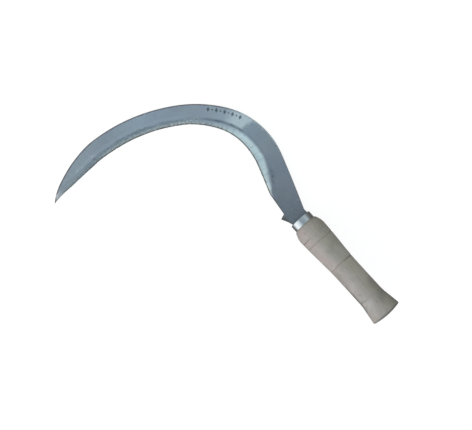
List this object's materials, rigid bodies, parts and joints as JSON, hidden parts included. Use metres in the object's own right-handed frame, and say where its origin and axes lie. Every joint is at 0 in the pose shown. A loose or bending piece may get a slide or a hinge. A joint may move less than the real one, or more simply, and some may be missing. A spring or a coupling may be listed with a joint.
{
  "type": "hand sickle",
  "caption": "Hand sickle: curved forged steel blade with a ground inner edge, a flat tang, a plated ferrule and a turned weathered wood handle.",
  "frame": {"origin": "on the blade's flat underside, under the handle's centreline, 41 mm short of the ferrule's mouth, just before the shank starts to crank", "axes": "+X along the handle towards the butt, +Z out of the ground face of the blade (the handle climbs towards +Z by 7.5 degrees), +Y completes the frame; the point of the blade lies at -X, -Y"},
  "size_m": [0.3554, 0.2267, 0.0501],
  "materials": {
    "blade_steel": "satin forged steel, ground bright along the inner edge",
    "ferrule_metal": "dull bright plating",
    "handle_wood": "bare turned hardwood, weathered grey"
  },
  "bodies": {
    "root": {"blade": "blade_steel", "ferrule": "ferrule_metal", "handle": "handle_wood"}
  },
  "joints": []
}
